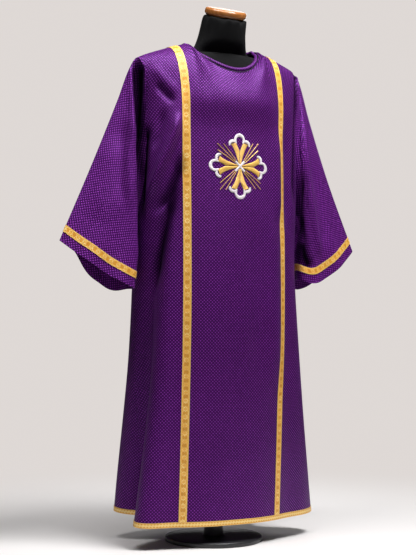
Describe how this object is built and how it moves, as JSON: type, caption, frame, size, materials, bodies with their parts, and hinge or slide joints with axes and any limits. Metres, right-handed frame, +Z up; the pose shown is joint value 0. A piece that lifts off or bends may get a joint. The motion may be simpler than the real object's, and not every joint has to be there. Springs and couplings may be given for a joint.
{
  "type": "dalmatic on dress form",
  "caption": "Long wide-sleeved vestment with braid bands, a breast cross and a rolled round neck, worn open and hollow by a limbless dress form on a stand.",
  "frame": {"origin": "on the floor, at the centre of the underside of the stand's base, under the pole", "axes": "+Z up; the front of the garment faces -Y; the wearer's right is -X"},
  "size_m": [0.91, 0.4451, 1.4717],
  "materials": {
    "purple_cloth": "woven with a small raised diamond pattern, soft sheen",
    "neck_roll": "stitched roll of the same cloth",
    "gold_braid": "woven metallic braid",
    "gold_embroidery": "satin-stitched metallic thread",
    "white_embroidery": "satin-stitched white thread",
    "form_cover": "black stretch cover, matte",
    "neck_cap_wood": "clear varnish",
    "stand_steel": "black, satin"
  },
  "bodies": {
    "root": {"front_panel": "purple_cloth", "back_panel": "purple_cloth", "sleeve_right": "purple_cloth", "sleeve_left": "purple_cloth", "neck_binding": "neck_roll", "clavus_right": "gold_braid", "clavus_left": "gold_braid", "hem_braid": "gold_braid", "cuff_braid_right": "gold_braid", "cuff_braid_left": "gold_braid", "cross_petals_upper": "gold_embroidery", "cross_petals_left": "gold_embroidery", "cross_petals_lower": "gold_embroidery", "cross_petals_right": "gold_embroidery", "cross_tip_upper": "white_embroidery", "cross_tip_left": "white_embroidery", "cross_tip_lower": "white_embroidery", "cross_tip_right": "white_embroidery", "form": "form_cover", "neck_cap": "neck_cap_wood", "stand_pole": "stand_steel", "stand_base": "stand_steel"}
  },
  "joints": []
}
